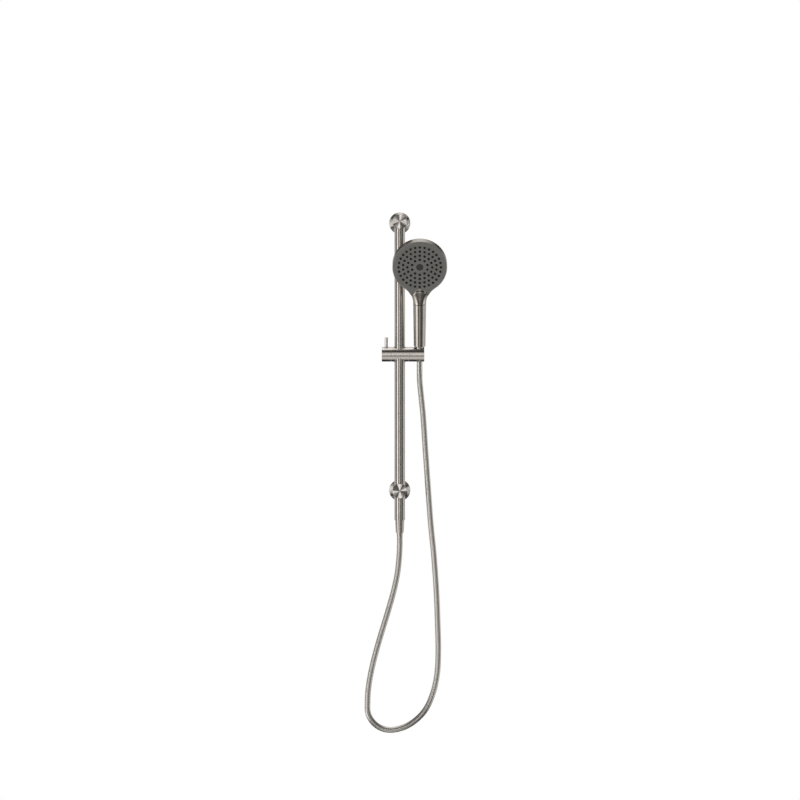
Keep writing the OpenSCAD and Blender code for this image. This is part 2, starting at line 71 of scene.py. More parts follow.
def add_camera():
    """A long lens, level and square to the wall."""
    data = bpy.data.cameras.new("camera")
    data.sensor_width = SENSOR
    data.lens = SENSOR * CAMERA_DISTANCE / WALL_WIDTH_SEEN
    data.clip_end = 60.0
    camera = bpy.data.objects.new("camera", data)
    camera.location = (CAMERA_X, -CAMERA_DISTANCE, CAMERA_HEIGHT)
    camera.rotation_euler = (math.radians(90), 0, 0)
    bpy.context.scene.collection.objects.link(camera)
    bpy.context.scene.camera = camera


add_camera()


# ---------------------------------------------------------------- Frames of reference

JOINTS = {joint["name"]: joint for joint in frame["joints"]}
RAIL_Y = -50.0
SLIDER_Z = 320.0

turn_axis = Vector(JOINTS["handset_turn"]["axis"]).normalized()
turn_origin = Vector(JOINTS["handset_turn"]["pos_m"])
across = Vector((1, 0, 0))
LEAN = math.asin(-turn_axis.y)
SOCKET_X = turn_origin.x / MM


def frame_matrix(origin, x_axis, z_axis):
    """Millimetres in a local frame to metres in the row frame."""
    y_axis = z_axis.cross(x_axis)
    turned = Matrix((x_axis, y_axis, z_axis)).transposed().to_4x4()
    return Matrix.Translation(origin) @ turned @ Matrix.Scale(MM, 4)


IN_HANDLE = frame_matrix(turn_origin, across, turn_axis)

FACE_Z = 213.3
FACE_Y = 20.0
FACE_TILT = math.radians(8.5)
IN_HEAD = (IN_HANDLE @ Matrix.Translation((0, -FACE_Y, FACE_Z))
           @ Matrix.Rotation(math.radians(90) + FACE_TILT, 4, "X"))


# ---------------------------------------------------------------- Mesh helpers

def ease(low, high, x):
    t = np.clip((x - low) / (high - low), 0, 1)
    return t * t * (3 - 2 * t)


def mix(a, b, t):
    return a + (b - a) * t


def placed(points, matrix):
    """Local points, as an array, in the row frame."""
    turned = np.array(matrix.to_3x3())
    return np.asarray(points, float) @ turned.T + np.array(matrix.translation)


def finish_mesh(mesh, sharp_degrees):
    """Outward normals, smooth shading, and sharp edges where faces meet at an angle."""
    work = bmesh.new()
    work.from_mesh(mesh)
    bmesh.ops.recalc_face_normals(work, faces=work.faces)
    work.to_mesh(mesh)
    work.free()
    mesh.polygons.foreach_set("use_smooth", [True] * len(mesh.polygons))
    mesh.set_sharp_from_angle(angle=math.radians(sharp_degrees))
    mesh.update()


def skin(name, rows, matrix=None, ring_closed=False, sharp_degrees=35):
    """A closed skin over rows of points that all have the same count. The rows either end in two
    caps or, ring_closed, the last joins the first. UV x runs round a row, UV y along the rows."""
    rows = np.asarray(rows, float)
    count, width = rows.shape[:2]
    points = rows.reshape(-1, 3)
    if matrix is not None:
        points = placed(points, matrix)
    faces, uvs = [], []
    for r in range(count if ring_closed else count - 1):
        low, high = r * width, (r + 1) % count * width
        for i in range(width):
            j = (i + 1) % width
            faces.append((low + i, low + j, high + j, high + i))
            uvs += [(i / width, r / count), ((i + 1) / width, r / count),
                    ((i + 1) / width, (r + 1) / count), (i / width, (r + 1) / count)]
    if not ring_closed:
        faces.append(tuple(reversed(range(width))))
        faces.append(tuple((count - 1) * width + i for i in range(width)))
        uvs += [(0.5 + 0.5 * math.cos(k), 0.5 + 0.5 * math.sin(k)) for k in range(2 * width)]
    mesh = bpy.data.meshes.new(name)
    mesh.from_pydata(points.tolist(), [], faces)
    layer = mesh.uv_layers.new(name="UVMap")
    layer.data.foreach_set("uv", np.array(uvs, np.float32).ravel())
    finish_mesh(mesh, sharp_degrees)
    piece = bpy.data.objects.new(name, mesh)
    bpy.context.scene.collection.objects.link(piece)
    return piece


def rounded(corners, steps=5):
    """A section's corners, each (radius, height, rounding), with the roundings drawn as arcs."""
    outline = []
    for k, (r, h, rounding) in enumerate(corners):
        corner = np.array((r, h), float)
        if rounding == 0:
            outline.append(corner)
            continue
        before = np.array(corners[k - 1][:2], float) - corner
        after = np.array(corners[(k + 1) % len(corners)][:2], float) - corner
        before, after = before / np.linalg.norm(before), after / np.linalg.norm(after)
        half = math.acos(np.clip(before @ after, -1, 1)) / 2
        reach = rounding / math.tan(half)
        inward = (before + after) / np.linalg.norm(before + after)
        middle = corner + inward * rounding / math.sin(half)
        start, end = corner + before * reach - middle, corner + after * reach - middle
        sweep = math.atan2(start[0] * end[1] - start[1] * end[0], start @ end)
        for i in range(steps + 1):
            angle = sweep * i / steps
            c, s = math.cos(angle), math.sin(angle)
            outline.append(middle + (start[0] * c - start[1] * s, start[0] * s + start[1] * c))
    return np.array(outline)


def swept_ring(name, section, matrix, sides=128):
    """A solid of one section carried round the local Z axis; section(angle) gives the outline."""
    angles = [2 * math.pi * i / sides for i in range(sides)]
    rows = []
    for angle in angles:
        outline = section(angle)
        rows.append([(r * math.cos(angle), r * math.sin(angle), h) for r, h in outline])
    piece = skin(name, rows, matrix, ring_closed=True)
    layer = piece.data.uv_layers["UVMap"].data
    uv = np.empty(len(layer) * 2, np.float32)
    layer.foreach_get("uv", uv)
    layer.foreach_set("uv", uv.reshape(-1, 2)[:, ::-1].ravel())
    return piece


# ---------------------------------------------------------------- Hose

HOSE_R = 6.75
NUT_LOW = -17.0
COLLAR_END = 107.0
FIT = 0.05
ROUTE_TOP = (SOCKET_X, RAIL_Y - (NUT_LOW - FIT) * math.sin(LEAN),
             SLIDER_Z + (NUT_LOW - FIT) * math.cos(LEAN))
ROUTE = np.array([
    (0, RAIL_Y, -(COLLAR_END + FIT)), (0, -50, -125), (-1, -50, -150), (-5, -50, -190),
    (-13, -49, -230), (-24.5, -48, -272), (-37.5, -47, -315), (-51.5, -46, -362), (-64, -45, -410),
    (-72.5, -44, -455), (-75.5, -43, -492), (-73.5, -42, -524.5), (-57, -41, -549),
    (-30.5, -40, -561), (1.5, -39, -558), (32, -38, -543), (60, -38, -514.5), (78.5, -37, -473.5),
    (88, -37, -428), (90.5, -37, -375), (89, -37, -310), (86, -37, -235), (80, -37, -150),
    (73, -37, -80), (67, -37, 0), (60, -37, 100), (55, -37, 175), (50, -37, 225), (47, -38, 257),
    (46.5, -40, 280), ROUTE_TOP], float) * MM
ROUTE_START = np.array((0, 0, -1.0))
ROUTE_STOP = np.array(turn_axis)
HOSE_SIDES = 28
RING_STEP = 2.5 * MM
TANGENT_REACH = 4 * MM


def route_curve():
    """The route as a smooth curve: (points, distance along it, distance at each route point)."""
    slopes = np.empty_like(ROUTE)
    slopes[0], slopes[-1] = ROUTE_START, ROUTE_STOP
    slopes[1:-1] = ROUTE[2:] - ROUTE[:-2]
    slopes[1:-1] /= np.linalg.norm(slopes[1:-1], axis=1)[:, None]
    fine = 24
    t = np.arange(fine)[:, None] / fine
    points = []
    for a, b, slope_a, slope_b in zip(ROUTE[:-1], ROUTE[1:], slopes[:-1], slopes[1:]):
        span = np.linalg.norm(b - a)
        points.append((2 * t**3 - 3 * t**2 + 1) * a + (t**3 - 2 * t**2 + t) * span * slope_a
                      + (3 * t**2 - 2 * t**3) * b + (t**3 - t**2) * span * slope_b)
    points = np.vstack(points + [ROUTE[-1:]])
    travel = np.concatenate([[0], np.cumsum(np.linalg.norm(np.diff(points, axis=0), axis=1))])
    return points, travel, travel[::fine]


route_points, route_travel, route_stops = route_curve()


def route_at(distances):
    return np.stack([np.interp(distances, route_travel, route_points[:, k]) for k in range(3)], 1)


def hose_piece(name, first, last):
    """The hose between two of the route's points: (piece, its path, its length, and how far along
    it each vertex is, from 0 to 1)."""
    start, end = route_stops[first], route_stops[last]
    rings = max(int(round((end - start) / RING_STEP)), 8)
    distances = np.linspace(start, end, rings + 1)
    path = route_at(distances)
    ahead = route_at(np.clip(distances + TANGENT_REACH, 0, route_travel[-1]))
    behind = route_at(np.clip(distances - TANGENT_REACH, 0, route_travel[-1]))
    tangents = ahead - behind
    tangents[distances < TANGENT_REACH] = ROUTE_START
    tangents[distances > route_travel[-1] - TANGENT_REACH] = ROUTE_STOP
    tangents /= np.linalg.norm(tangents, axis=1)[:, None]
    side = np.cross(tangents, (0, 1.0, 0))
    side /= np.linalg.norm(side, axis=1)[:, None]
    up = np.cross(tangents, side)
    angles = 2 * np.pi * np.arange(HOSE_SIDES) / HOSE_SIDES
    around = (side[:, None] * np.cos(angles)[None, :, None]
              + up[:, None] * np.sin(angles)[None, :, None])
    piece = skin(name, path[:, None] + around * HOSE_R * MM, sharp_degrees=60)
    set_hose_uv(piece, distances)
    share = np.repeat((distances - start) / (end - start), HOSE_SIDES)
    return piece, path, end - start, share


def set_hose_uv(piece, distances):
    """UV x is one turn round the hose, and UV y is the distance along it in metres."""
    mesh = piece.data
    uv = mesh.uv_layers["UVMap"].data
    for index, polygon in enumerate(mesh.polygons):
        if polygon.loop_total != 4:
            continue
        column = index % HOSE_SIDES
        for k in polygon.loop_indices:
            ring, side = divmod(mesh.loops[k].vertex_index, HOSE_SIDES)
            uv[k].uv = ((column + (side != column)) / HOSE_SIDES, distances[ring])


# ---------------------------------------------------------------- Head of the handset

HEAD_R = 63.6
NECK_R = 15.3
FILLET_R = 50.0
RIM_DEPTH = 19.5
DOME_H = 3.5
RIM_W = 1.3
PLATE_T = 3.0
ARCH_R = 20.0
ARCH_V = -75.5
SEAM_Z = 127.0
SEAM_TILT = math.radians(23)
SEAM_HALF = 0.55

FILLET_U = NECK_R + FILLET_R
FILLET_V = -math.sqrt((HEAD_R + FILLET_R) ** 2 - FILLET_U**2)
JOIN_V = FILLET_V * HEAD_R / (HEAD_R + FILLET_R)
AXIS_V0 = -FACE_Y * math.sin(FACE_TILT) - FACE_Z * math.cos(FACE_TILT)
AXIS_W0 = -FACE_Y * math.cos(FACE_TILT) + FACE_Z * math.sin(FACE_TILT)
NECK_V = -94.0
LOW_V = -112.0
EDGE_ROUNDING = 0.6
EDGE_ROUNDING_SPAN = (-60, -45)

# The neck dives under the flat face with a tip like a fingernail's, and gets squarer on its way up
NECK_SQUARING = 0.012
DIVE_SPAN = (-82, -64)
DIVE_TOP_V = -45
NAIL_DROP = 0.0006
NAIL_END = 8.0
NAIL_H = 6.0
NAIL_SPAN = (-80, -72)
NAIL_SIDES = (11, 16)

# The back: the shallow dome runs down into the neck
BACK_SPAN = (-92, -42)
BACK_DEPTH = 5
BACK_ROUNDING = 6

# The face plate's pocket, the hollows behind it as (radius, floor), and the bores up the neck
PLATE_GAP = 0.2
ARCH_GAP = 0.15
POCKET_TOP = 30
HOLLOWS = ((57, -22), (50, -23.5), (30, -25))
HANDLE_BORE_R = 12.0
HANDLE_BORE_SPAN = (100, 137)
NECK_BORE_R = 8.9
NECK_BORE_SPAN = (130, 168)
SEAM_CUTTER_R = 70
SEAM_CUTTER_SPAN = (-90, 0)

# Nearer to the head's middle than this share of its radius, the fillets are too far off to count
FILLET_REACH = 0.7


def axis_w(v):
    return AXIS_W0 - (v - AXIS_V0) * math.tan(FACE_TILT)


def half_width(v):
    """Half the width of the head's outline at the height v."""
    if v > JOIN_V:
        return math.sqrt(max(HEAD_R**2 - v * v, 0))
    if v > FILLET_V:
        return FILLET_U - math.sqrt(FILLET_R**2 - (v - FILLET_V) ** 2)
    return NECK_R


def edge_distance(u, v):
    """Distance from points of the face to the outline."""
    rho = np.hypot(u, v)
    if v > JOIN_V:
        return HEAD_R - rho
    if v > FILLET_V:
        hollow = np.hypot(FILLET_U - np.abs(u), v - FILLET_V) - FILLET_R
        return np.where(rho < HEAD_R * FILLET_REACH, HEAD_R - rho, hollow)
    return NECK_R - np.abs(u)


def front_w(u, v):
    """Front of the shell: the round neck, which dives under the flat face."""
    s = max(v - NECK_V, 0)
    power = 2 + NECK_SQUARING * s
    centre = axis_w(v)
    top = centre + NECK_R / math.cos(FACE_TILT) - NAIL_DROP * s * s
    q = np.clip(np.abs(u) / max(half_width(v), 0.01), 0, 1)
    bulge = centre + (top - centre) * np.maximum(1 - q**power, 0) ** (1 / power)
    flat = mix(centre, 0, ease(*DIVE_SPAN, v))
    inside = np.clip(EDGE_ROUNDING - edge_distance(u, v), 0, EDGE_ROUNDING)
    drop = EDGE_ROUNDING - np.sqrt(EDGE_ROUNDING**2 - inside**2)
    flat = flat - drop * ease(*EDGE_ROUNDING_SPAN, v)
    inward = ARCH_R - np.hypot(u, v - ARCH_V)
    tip = NAIL_H * ease(0, NAIL_END, inward)
    in_nail = ease(*NAIL_SPAN, v) * (1 - ease(*NAIL_SIDES, np.abs(u)))
    bulge = mix(bulge, np.minimum(bulge, tip), in_nail)
    return np.maximum(bulge, flat) if v < DIVE_TOP_V else flat


def back_w(u, v):
    """Back of the shell: a shallow dome with a rounded rim, running down into the round neck."""
    k = ease(*BACK_SPAN, v)
    rho = np.minimum(np.hypot(u, v), HEAD_R)
    deep = mix(NECK_R / math.cos(FACE_TILT), BACK_DEPTH + DOME_H * (1 - (rho / HEAD_R) ** 2), k)
    round_r = mix(NECK_R, BACK_ROUNDING, k)
    d = np.clip(edge_distance(u, v) / round_r, 0, 1)
    return max(axis_w(v), -RIM_DEPTH) - deep * np.sqrt(1 - (1 - d) ** 2)


def shell_rows():
    columns, neck_rows, head_rows = 56, 48, 76
    join_angle = math.asin(JOIN_V / HEAD_R)
    tip_angle = math.radians(89.2)
    heights = [mix(LOW_V, JOIN_V, i / neck_rows) for i in range(neck_rows)]
    heights += [HEAD_R * math.sin(mix(join_angle, tip_angle, i / head_rows))
                for i in range(head_rows + 1)]
    rows = []
    spread = np.sin(np.radians(90 - 180 * np.arange(columns + 1) / columns))
    for v in heights:
        u = half_width(v) * spread
        height = np.full_like(u, v)
        front = np.stack([u, height, front_w(u, v)], 1)
        back = np.stack([u, height, back_w(u, v)], 1)[::-1]
        rows.append(np.vstack([front, back]))
    return rows


def plate_outline(inset, arch):
    """The face plate's outline, inset from the head's, with the arch at the neck cut out."""
    r, hollow_r = HEAD_R - inset, FILLET_R + inset
    join = math.asin(JOIN_V / HEAD_R)
    points = [(r * math.cos(t), r * math.sin(t)) for t in np.linspace(math.pi / 2, join, 60)]
    start = math.atan2(JOIN_V - FILLET_V, math.sqrt(HEAD_R**2 - JOIN_V**2) - FILLET_U)
    for t in np.linspace(start, math.pi, 24)[1:]:
        u, v = FILLET_U + hollow_r * math.cos(t), FILLET_V + hollow_r * math.sin(t)
        if math.hypot(u, v - ARCH_V) <= arch:
            break
        points.append((u, v))
    last = math.atan2(points[-1][1] - ARCH_V, points[-1][0])
    points += [(arch * math.cos(t), ARCH_V + arch * math.sin(t))
               for t in np.linspace(last, math.pi / 2, 20)]
    return points + [(-u, v) for u, v in reversed(points[1:-1])]


def cut(piece, tools):
    """Takes the tools' shapes out of the piece, exactly, and deletes them."""
    for tool in tools:
        modifier = piece.modifiers.new("cut", "BOOLEAN")
        modifier.operation = "DIFFERENCE"
        modifier.solver = "EXACT"
        modifier.object = tool
    graph = bpy.context.evaluated_depsgraph_get()
    mesh = bpy.data.meshes.new_from_object(piece.evaluated_get(graph))
    piece.modifiers.clear()
    old = piece.data
    piece.data = mesh
    bpy.data.meshes.remove(old)
    mesh.name = piece.name
    for tool in tools:
        bpy.data.objects.remove(tool)
    return piece


def disc_rows(radius, low, high, sides=96):
    angles = 2 * np.pi * np.arange(sides) / sides
    ring = np.stack([radius * np.cos(angles), radius * np.sin(angles)], 1)
    return [np.column_stack([ring, np.full(sides, h)]) for h in (low, high)]


def handset_shell():
    shell = skin("handset_shell_skin", shell_rows(), IN_HEAD)
    outline = np.array(plate_outline(RIM_W - PLATE_GAP, ARCH_R - ARCH_GAP))
    pocket = [np.column_stack([outline, np.full(len(outline), w)])
              for w in (-PLATE_T - PLATE_GAP, POCKET_TOP)]
    tools = [skin("tool_pocket", pocket, IN_HEAD)]
    for radius, low in HOLLOWS:
        tools.append(skin("tool_hollow", disc_rows(radius, low, 1 - PLATE_T), IN_HEAD))
    tools.append(skin("tool_bore", disc_rows(HANDLE_BORE_R, *HANDLE_BORE_SPAN), IN_HANDLE))
    tools.append(skin("tool_neck", disc_rows(NECK_BORE_R, *NECK_BORE_SPAN), IN_HANDLE))
    seam = (IN_HANDLE @ Matrix.Translation((0, 0, SEAM_Z + SEAM_HALF))
            @ Matrix.Rotation(SEAM_TILT, 4, "X"))
    tools.append(skin("tool_seam", disc_rows(SEAM_CUTTER_R, *SEAM_CUTTER_SPAN), seam))
    cut(shell, tools)
    finish_mesh(shell.data, 32)
    return shell


HANDLE_LOW = 20.0
HANDLE_LOW_R = 13.8
FOOT_ROUNDING = 0.8
LIP_ROUNDING = 0.3


def handle_section(angle):
    """Section of the handle's tube at an angle: its top follows the sloping seam."""
    rise = math.sin(angle) * math.tan(SEAM_TILT)
    top = SEAM_Z - SEAM_HALF + NECK_R * rise
    inner_top = SEAM_Z - SEAM_HALF + HANDLE_BORE_R * rise
    taper = (NECK_R - HANDLE_LOW_R) / (SEAM_Z - HANDLE_LOW)
    outer = [(HANDLE_LOW_R + taper * (z - HANDLE_LOW), z)
             for z in np.linspace(HANDLE_LOW + 2, top - 1, 24)]
    foot = [(HANDLE_LOW_R + FOOT_ROUNDING * (math.sin(a) - 1),
             HANDLE_LOW + FOOT_ROUNDING * (1 - math.cos(a)))
            for a in np.linspace(0, math.pi / 2, 6)]
    lip_r = HANDLE_LOW_R + taper * (top - HANDLE_LOW)
    lip = [(lip_r + LIP_ROUNDING * (math.cos(a) - 1), top + LIP_ROUNDING * (math.sin(a) - 1))
           for a in np.linspace(0, math.pi / 2, 5)]
    return foot + outer + lip + [(HANDLE_BORE_R, inner_top), (HANDLE_BORE_R, HANDLE_LOW)]


# The hose nut's section, with a cone below and a thin skirt inside the handle, as corners of
# (radius, height, rounding)
NUT_SECTION = [(5.8, 21.8, 0), (10.4, 21.8, 0), (10.4, 33, 0), (11.6, 33, 0.2), (11.6, 20.8, 0.2),
               (9.75, 20.8, 0), (9.75, 20, 0), (7.6, -17, 0.6), (5.8, -17, 0)]


# ---------------------------------------------------------------- Materials

class Nodes:
    """A short way to write a node tree."""

    def __init__(self, tree):
        self.tree = tree

    def add(self, kind, **inputs):
        node = self.tree.nodes.new("ShaderNode" + kind)
        for key, value in inputs.items():
            self.put(node, key, value)
        return node

    def put(self, node, key, value):
        socket = node.inputs[key.replace("_", " ")] if isinstance(key, str) else node.inputs[key]
        if isinstance(value, bpy.types.NodeSocket):
            self.tree.links.new(value, socket)
        else:
            socket.default_value = value

    def math(self, operation, a, b=None, clamp=False):
        node = self.tree.nodes.new("ShaderNodeMath")
        node.operation = operation
        node.use_clamp = clamp
        self.put(node, 0, a)
        if b is not None:
            self.put(node, 1, b)
        return node.outputs[0]

    def ramp(self, factor, stops, smooth=False):
        """A ramp over (position, colour or grey) stops."""
        node = self.tree.nodes.new("ShaderNodeValToRGB")
        ramp = node.color_ramp
        ramp.interpolation = "EASE" if smooth else "LINEAR"
        while len(ramp.elements) < len(stops):
            ramp.elements.new(0.5)
        for element, (position, _) in zip(ramp.elements, stops):
            element.position = position
        for element, (_, value) in zip(ramp.elements, stops):
            grey = isinstance(value, (int, float))
            element.color = (value, value, value, 1) if grey else (*value, 1)
        self.put(node, "Fac", factor)
        return node.outputs["Color"]

    def noise(self, vector, scale, detail=2.0, roughness=0.5):
        node = self.add("TexNoise", Vector=vector, Scale=scale, Detail=detail, Roughness=roughness)
        return node.outputs["Fac"]

    def scaled(self, vector, factors):
        node = self.tree.nodes.new("ShaderNodeVectorMath")
        node.operation = "MULTIPLY"
        self.put(node, 0, vector)
        self.put(node, 1, factors)
        return node.outputs[0]

    def bump(self, height, strength, distance):
        node = self.add("Bump", Height=height, Strength=strength, Distance=distance)
        return node.outputs["Normal"]


def new_material(name):
    material = bpy.data.materials.new(name)
    material.use_nodes = True
    tree = material.node_tree
    shader = tree.nodes["Principled BSDF"]
    return material, Nodes(tree), shader


# Nickel's reflectance: on the rail and posts; a darker copy, painted shade, on the plated shell
# and handle; a lighter copy, painted light, on the slider; and on the spun faces before their
# painted reflection fan
NICKEL = (0.64, 0.60, 0.555)
NICKEL_DARK = (0.56, 0.52, 0.475)
SHADED_SHELL_NICKEL = (0.53, 0.495, 0.46)
SHADED_SHELL_NICKEL_DARK = (0.47, 0.435, 0.40)
LIT_SLIDER_NICKEL = (0.75, 0.71, 0.665)
LIT_SLIDER_NICKEL_DARK = (0.68, 0.64, 0.595)
SPUN_NICKEL = (0.97, 0.93, 0.89)
SPUN_NICKEL_DARK = (0.90, 0.86, 0.82)

HOSE_SILVER = (0.72, 0.69, 0.655)
HOSE_SILVER_DARK = (0.60, 0.57, 0.535)
FACE_LIGHT = (0.300, 0.298, 0.286)
FACE_DARK = (0.256, 0.254, 0.243)

# Painted reflection of a spun face, multiplied into its base colour round its axis:
# (degrees from +X towards +Z, reflectance)
UPPER_PAINTED_REFLECTION_FAN = [(0, 1.0), (18, 0.95), (27, 0.13), (36, 0.13), (44, 0.50), (61, 0.55), (70, 0.80),
             (89, 0.80), (97, 0.15), (120, 0.20), (137, 0.50), (152, 0.95), (188, 1.0), (198, 0.65),
             (205, 0.12), (214, 0.14), (222, 0.42), (244, 0.50), (253, 0.80), (269, 0.80),
             (278, 0.20), (300, 0.16), (324, 0.16), (333, 0.80), (342, 1.0), (360, 1.0)]
LOWER_PAINTED_REFLECTION_FAN = [(0, 0.25), (5, 1.0), (24, 1.0), (32, 0.55), (47, 0.46), (54, 0.12), (63, 0.13),
             (70, 0.55), (82, 0.62), (90, 0.82), (106, 0.82), (114, 0.14), (148, 0.20), (173, 0.15),
             (180, 0.95), (198, 1.0), (206, 0.55), (228, 0.42), (236, 0.12), (246, 0.14),
             (251, 0.55), (264, 0.62), (272, 0.82), (288, 0.82), (297, 0.50), (318, 0.42),
             (329, 0.14), (355, 0.15), (360, 0.25)]
UPPER_FLANGE_PAINTED_REFLECTION_FAN = [(0, 1.0), (18, 0.90), (24, 0.12), (33, 0.12), (40, 0.42), (65, 0.45),
                    (78, 0.80), (100, 0.75), (110, 0.35), (122, 0.15), (146, 0.14), (156, 0.60),
                    (166, 0.90), (190, 0.90), (200, 0.70), (207, 0.12), (217, 0.13), (225, 0.42),
                    (243, 0.45), (270, 0.60), (300, 0.18), (310, 0.30), (322, 0.50), (338, 0.80),
                    (348, 1.0), (360, 1.0)]
LOWER_FLANGE_PAINTED_REFLECTION_FAN = [(0, 0.90), (20, 0.85), (27, 0.12), (38, 0.14), (45, 0.42), (62, 0.42),
                    (80, 0.75), (100, 0.75), (118, 0.22), (128, 0.36), (146, 0.56), (157, 0.95),
                    (170, 0.95), (182, 0.78), (196, 0.60), (204, 0.13), (215, 0.13), (222, 0.40),
                    (236, 0.40), (270, 0.60), (303, 0.36), (310, 0.12), (326, 0.13), (336, 0.60),
                    (346, 0.90), (360, 0.90)]


def turned_metal(name, axis, centre, roughness, light=NICKEL, dark=NICKEL_DARK, anisotropy=0.6,
                 uv_tangent=False, painted_reflection_fan=None):
    """Metal with the fine marks of turning round an axis: rings along a barrel, circles on an end.
    A painted reflection fan paints the light and dark sectors that a spun face's circular marks
    reflect into its base colour."""
    material, n, shader = new_material(name)
    place = n.tree.nodes.new("ShaderNodeTexCoord").outputs["Object"]
    offset = n.tree.nodes.new("ShaderNodeVectorMath")
    offset.operation = "SUBTRACT"
    n.put(offset, 0, place)
    n.put(offset, 1, centre)
    axis = Vector(axis)
    along = n.tree.nodes.new("ShaderNodeVectorMath")
    along.operation = "DOT_PRODUCT"
    n.put(along, 0, offset.outputs[0])
    n.put(along, 1, axis)
    whole = n.tree.nodes.new("ShaderNodeVectorMath")
    whole.operation = "LENGTH"
    n.put(whole, 0, offset.outputs[0])
    whole_squared = n.math("POWER", whole.outputs["Value"], 2)
    along_squared = n.math("POWER", along.outputs["Value"], 2)
    flat = n.math("SQRT", n.math("MAXIMUM", n.math("SUBTRACT", whole_squared, along_squared), 0))
    both = n.add("CombineXYZ", X=along.outputs["Value"], Y=flat, Z=0.0)
    fine = n.noise(both.outputs[0], 5200.0, 3.0, 0.65)
    coarse = n.noise(both.outputs[0], 900.0, 2.0, 0.5)
    cloud = n.noise(place, 38.0, 3.0, 0.55)
    marks = n.math("ADD", n.math("MULTIPLY", fine, 0.65), n.math("MULTIPLY", coarse, 0.35))
    tone = n.math("ADD", n.math("MULTIPLY", marks, 0.6), n.math("MULTIPLY", cloud, 0.4))
    colour = n.ramp(tone, [(0.3, dark), (0.7, light)])
    # Painted reflection: the fan's light and dark sectors scale the base colour round the axis
    if painted_reflection_fan:
        sides = n.add("SeparateXYZ", Vector=offset.outputs[0]).outputs
        turn = n.math("DIVIDE", n.math("ARCTAN2", sides["Z"], sides["X"]), 2 * math.pi)
        turn = n.math("FRACT", n.math("ADD", turn, 1.0))
        colour = n.scaled(colour, n.ramp(turn, [(a / 360, value) for a, value in painted_reflection_fan]))
    n.put(shader, "Base_Color", colour)
    n.put(shader, "Metallic", 1.0)
    n.put(shader, "Roughness", n.ramp(tone, [(0.3, roughness + 0.03), (0.7, roughness - 0.03)]))
    n.put(shader, "Anisotropic", anisotropy)
    n.put(shader, "Anisotropic_Rotation", 0.25)
    tangent = n.tree.nodes.new("ShaderNodeTangent")
    if uv_tangent:
        tangent.direction_type = "UV_MAP"
        tangent.uv_map = "UVMap"
    else:
        tangent.direction_type = "RADIAL"
        tangent.axis = "XYZ"[max(range(3), key=lambda k: abs(axis[k]))]
    n.put(shader, "Tangent", tangent.outputs[0])
    n.put(shader, "Normal", n.bump(marks, 0.07, 0.00003))
    return material


def plated_plastic(name, roughness):
    """Nickel plate on a moulded part: smoother than turned metal, with the faintest orange peel."""
    material, n, shader = new_material(name)
    place = n.tree.nodes.new("ShaderNodeTexCoord").outputs["Object"]
    brushed = n.noise(n.scaled(place, (260.0, 260.0, 2600.0)), 1.0, 3.0, 0.6)
    cloud = n.noise(place, 30.0, 3.0, 0.5)
    tone = n.math("ADD", n.math("MULTIPLY", brushed, 0.5), n.math("MULTIPLY", cloud, 0.5))
    # Painted shade: the shell gets a darker copy of the nickel
    n.put(shader, "Base_Color", n.ramp(tone, [(0.3, SHADED_SHELL_NICKEL_DARK), (0.7, SHADED_SHELL_NICKEL)]))
    n.put(shader, "Metallic", 1.0)
    n.put(shader, "Roughness", n.ramp(tone, [(0.3, roughness + 0.04), (0.7, roughness - 0.03)]))
    n.put(shader, "Normal", n.bump(brushed, 0.12, 0.00003))
    return material


def hose_skin():
    """Smooth clear-coated silver hose over a fine spiral."""
    material, n, shader = new_material("hose_skin")
    uv = n.tree.nodes.new("ShaderNodeTexCoord").outputs["UV"]
    split = n.add("SeparateXYZ", Vector=uv)
    pitch = 2.4 * MM
    turns = n.math("ADD", n.math("DIVIDE", split.outputs["Y"], pitch), split.outputs["X"])
    wave = n.math("ABSOLUTE", n.math("SUBTRACT", n.math("FRACT", turns), 0.5))
    place = n.tree.nodes.new("ShaderNodeTexCoord").outputs["Object"]
    grain = n.noise(place, 900.0, 3.0, 0.6)
    tone = n.math("ADD", n.math("MULTIPLY", wave, 1.5), n.math("MULTIPLY", grain, 0.35))
    n.put(shader, "Base_Color", n.ramp(tone, [(0.1, HOSE_SILVER_DARK), (0.9, HOSE_SILVER)]))
    n.put(shader, "Metallic", 0.85)
    n.put(shader, "Roughness", n.ramp(tone, [(0.1, 0.36), (0.9, 0.27)]))
    n.put(shader, "Coat_Weight", 0.35)
    n.put(shader, "Coat_Roughness", 0.12)
    n.put(shader, "Normal", n.bump(wave, 0.12, 0.00008))
    return material


def moulded(name, light, dark, roughness, grain_scale=1800.0, bump=0.25, specular=0.5):
    """Plastic or rubber with a moulded grain and a slight unevenness of colour."""
    material, n, shader = new_material(name)
    place = n.tree.nodes.new("ShaderNodeTexCoord").outputs["Object"]
    grain = n.noise(place, grain_scale, 3.0, 0.6)
    cloud = n.noise(place, 60.0, 3.0, 0.5)
    tone = n.math("ADD", n.math("MULTIPLY", grain, 0.45), n.math("MULTIPLY", cloud, 0.55))
    n.put(shader, "Base_Color", n.ramp(tone, [(0.3, dark), (0.7, light)]))
    n.put(shader, "Roughness", n.ramp(tone, [(0.3, roughness + 0.06), (0.7, roughness - 0.05)]))
    n.put(shader, "Specular_IOR_Level", specular)
    n.put(shader, "Normal", n.bump(grain, bump, 0.00005))
    return material


def paint(node, material):
    mesh = frame["nodes"][node].data
    mesh.materials.clear()
    mesh.materials.append(material)


def dress(piece, material):
    piece.data.materials.clear()
    piece.data.materials.append(material)


def centre_of(node):
    low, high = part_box(node)
    return (low + high) / 2


